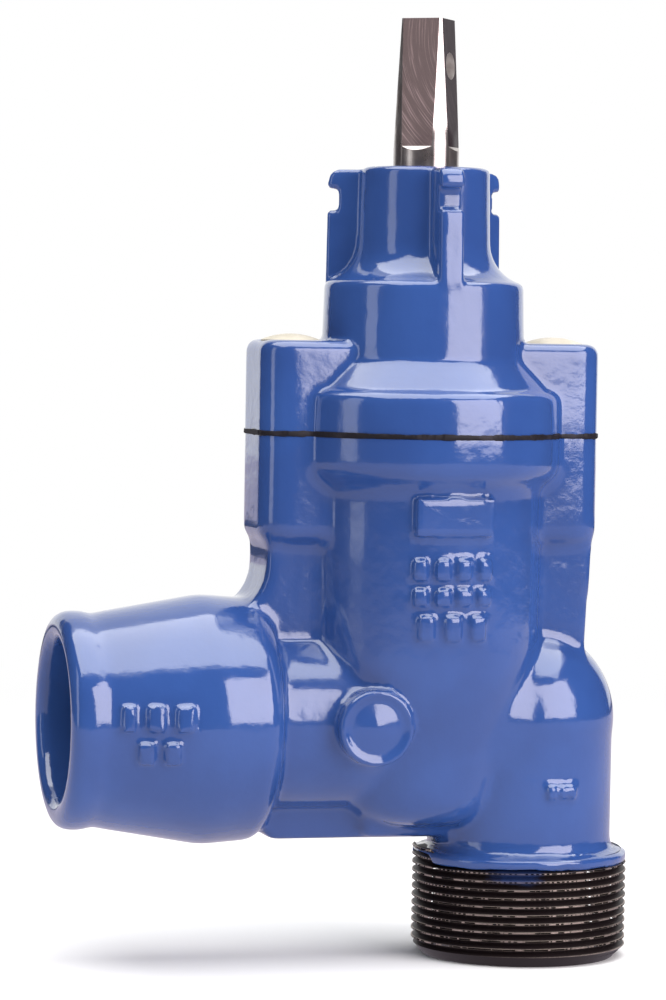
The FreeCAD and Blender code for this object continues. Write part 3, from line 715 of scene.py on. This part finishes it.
def turned_finish():
    """Bright turned stainless with rings of fine tool marks."""
    finish = Finish("turned_stainless")
    place = finish.place()
    x, y, z = finish.split(place)
    rings = finish.node("ShaderNodeMath", {"operation": "SINE"}, z * 9000)
    cloud = finish.cloud(place, 220, 3.0)
    marks = 0.5 + 0.3 * rings + 0.3 * cloud
    return finish.set(Base_Color=finish.mottle(cloud, turned_grey, turned_bright), Metallic=0.95,
                      Roughness=0.24 + 0.10 * cloud, Normal=finish.bump(marks, 0.00001))


def metal_finish(name, dull, bright, roughness, scale=260):
    """Machined or cast metal, mottled between two tones."""
    finish = Finish(name)
    place = finish.place()
    cloud = finish.cloud(place, scale, 3.0)
    fine = finish.cloud(place, 2400, 2.0)
    return finish.set(Base_Color=finish.mottle(cloud, dull, bright), Metallic=0.9,
                      Roughness=roughness + 0.15 * cloud, Normal=finish.bump(fine, 0.00002))


stem_piece = cad_copy("stem", "stem_bar")
smooth_shading(stem_piece, 30)
stem_piece.data.materials.append(turned_finish())
for quarter, (name, tone) in enumerate(flat_tones):
    heading = quarter * math.pi / 2 - head_turn
    facing = Vector((math.cos(heading), math.sin(heading), 0))
    stem_piece.data.materials.append(milled_finish(name, facing, tone))
    for face in stem_piece.data.polygons:
        outward = (face.center - hole_middle).dot(facing)
        at_head = face.center.z > stem_high.z - flats_length
        if at_head and outward > flats_apart and face.normal.dot(facing) > square_on:
            face.material_index = quarter + 1
# The cross hole's wall gets the pale drilled tones, a painted highlight.
stem_piece.data.materials.append(metal_finish("drilled_wall_painted_highlight", drilled_highlight_grey, drilled_highlight_bright, 0.25))
for face in stem_piece.data.polygons:
    reach = face.center - hole_middle
    off_axis = (reach - hole_way * reach.dot(hole_way)).length
    if off_axis < hole_radius and abs(face.normal.dot(hole_way)) < edge_on:
        face.material_index = len(flat_tones) + 1
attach(stem_piece, "stem")
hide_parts("stem")


# Gasket
# A flat rubber gasket, cut from sheet. The two bolts squeeze it unevenly, so that its edge stands a little
# out of the joint between body and bonnet.
gasket_voxel = 0.0004
gasket_swell = 0.45
wave_along_x = 900
wave_along_y = 700
rubber_black = (0.010, 0.008, 0.011)

gasket_piece = cad_copy("bonnet_gasket", "gasket_edge")
change(gasket_piece, "REMESH", mode="VOXEL", voxel_size=gasket_voxel)
gasket_points = points_of(gasket_piece)
x, y, z = gasket_points.T
gasket_middle = (gasket_low.z + gasket_high.z) / 2
along = x * wave_along_x + y * wave_along_y
wave = 0.5 * np.sin(along * 0.41) + 0.3 * np.sin(along * 1.3 + 1.0) + 0.2 * np.sin(along * 3.1)
gasket_points[:, 2] = gasket_middle + (z - gasket_middle) * (1 + gasket_swell * (1 + wave))
put_points(gasket_piece, gasket_points)
thin_out(gasket_piece)
smooth_shading(gasket_piece, 40)


def rubber_finish():
    """Black rubber with a faint bloom and a fine grain."""
    finish = Finish("black_rubber")
    place = finish.place()
    bloom = finish.cloud(place, 150, 3.0)
    grain = finish.cloud(place, 2200, 2.0)
    pale = tuple(channel * 2.2 + 0.004 for channel in rubber_black)
    return finish.set(Base_Color=finish.mottle(bloom, rubber_black, pale, 0.45, 0.75), Specular_IOR_Level=0.2,
                      Roughness=0.45 + 0.15 * bloom, Normal=finish.bump(grain, 0.00003))


black_rubber = rubber_finish()
gasket_piece.data.materials.append(black_rubber)
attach(gasket_piece, "housing")
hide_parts("bonnet_gasket")


# Hot melt over the bolts
# Two drops of cream hot melt, poured over the bolt heads in the ears to keep water out. Each sets in a dome
# of its own.
melt_cream = (0.44, 0.40, 0.31)
melt_pale = (0.54, 0.50, 0.41)


def melt_finish():
    """Waxy cream plastic with soft flow marks."""
    finish = Finish("cream_hot_melt")
    place = finish.place()
    flow = finish.cloud(place, 180, 3.0)
    return finish.set(Base_Color=finish.mottle(flow, melt_cream, melt_pale), Roughness=0.30 + 0.15 * flow,
                      Normal=finish.bump(flow, 0.0003))


melt_piece = cad_copy("bolt_sealing_plugs", "melt_drops")
smooth_shading(melt_piece, 40)
melt_piece.data.materials.append(melt_finish())
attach(melt_piece, "housing")
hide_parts("bolt_sealing_plugs")


# Inner pieces
# The bolts, the bearing and its rings, the thrust collar, the wedge with its nut and shoes, and the rings in
# the socket. They are turned, moulded or pressed, and keep their CAD shape under their own finishes.
bolt_grey = (0.36, 0.36, 0.37)
bolt_bright = (0.50, 0.50, 0.51)
brass_dull = (0.50, 0.34, 0.12)
brass_bright = (0.66, 0.48, 0.20)
iron_dark = (0.07, 0.07, 0.075)
iron_grey = (0.13, 0.13, 0.13)
nylon_warm = (0.62, 0.58, 0.48)
nylon_pale = (0.72, 0.69, 0.60)


def nylon_finish():
    """Natural polyamide, warm off-white with a fine moulded grain."""
    finish = Finish("natural_polyamide")
    place = finish.place()
    tint = finish.cloud(place, 90, 2.0)
    grain = finish.cloud(place, 1800, 2.0)
    return finish.set(Base_Color=finish.mottle(tint, nylon_warm, nylon_pale), Roughness=0.42 + 0.12 * grain,
                      Normal=finish.bump(grain, 0.00002))


node_finishes = [
    (metal_finish("dull_bolt_steel", bolt_grey, bolt_bright, 0.32),
     ["bonnet_bolts"]),
    (metal_finish("machined_brass", brass_dull, brass_bright, 0.26),
     ["thrust_collar", "wedge_nut", "grip_ring"]),
    (metal_finish("blasted_iron", iron_dark, iron_grey, 0.55, 400),
     ["wedge_core"]),
    (nylon_finish(),
     ["thrust_washers", "stem_bearing", "wedge_guide_shoes", "support_ring"]),
    (black_rubber,
     ["stem_o_rings", "bearing_o_rings", "wiper_ring", "manchette", "wedge_rubber", "socket_seal"]),
]
for finish_material, nodes in node_finishes:
    for node in nodes:
        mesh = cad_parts[node].data
        mesh.materials.clear()
        mesh.materials.append(finish_material)
